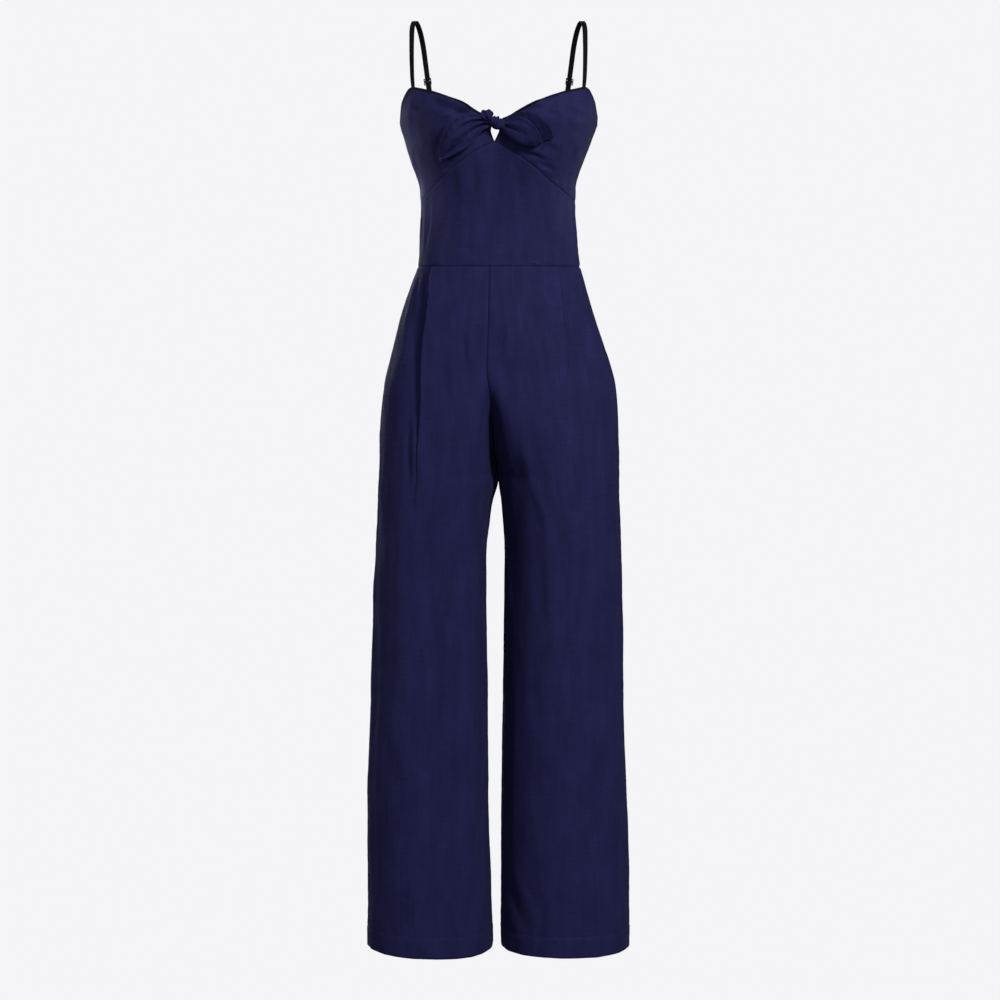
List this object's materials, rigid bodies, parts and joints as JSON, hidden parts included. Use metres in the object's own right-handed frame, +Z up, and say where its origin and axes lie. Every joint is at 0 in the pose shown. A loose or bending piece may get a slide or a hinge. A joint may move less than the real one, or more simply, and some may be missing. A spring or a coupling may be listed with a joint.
{
  "type": "jumpsuit",
  "caption": "Sleeveless wide-legged jumpsuit of plain navy cloth with thin shoulder straps, knotted cups over a keyhole and a zip down the back, filled out with no wearer.",
  "frame": {"origin": "midway between the two points where the shoulder straps bear on the wearer's shoulders", "axes": "+Z up, along the garment's height; the front faces -Y; the wearer's right side is at -X"},
  "size_m": [0.4044, 0.2547, 1.4145],
  "materials": {
    "cloth": "matt plain-woven navy linen cloth with a faint sheen",
    "strap": "dark navy woven strap and tape",
    "hardware": "satin dark navy coating on metal"
  },
  "bodies": {
    "garment": {"cup_right": "cloth", "cup_left": "cloth", "midriff": "cloth", "bodice_back_right": "cloth", "bodice_back_left": "cloth", "trouser_front_right": "cloth", "trouser_front_left": "cloth", "trouser_back_right": "cloth", "trouser_back_left": "cloth", "tie_knot_band": "cloth", "tie_knot_lobe": "cloth", "tie_tail_right": "cloth", "tie_tail_left": "cloth", "strap_right": "strap", "strap_left": "strap", "strap_loop_right": "strap", "strap_loop_left": "strap", "strap_slider_right": "hardware", "strap_slider_left": "hardware", "strap_ring_right": "hardware", "strap_ring_left": "hardware", "zip_tape_right": "strap", "zip_tape_left": "strap", "zip_slider": "hardware"},
    "pull": {"zip_pull": "hardware"}
  },
  "joints": [
    {"name": "pull_swings", "type": "hinge", "parent": "garment", "child": "pull", "pos_m": [0, 0.09404, -0.198], "axis": [1, 0, 0], "range_deg": [0, 160]}
  ]
}
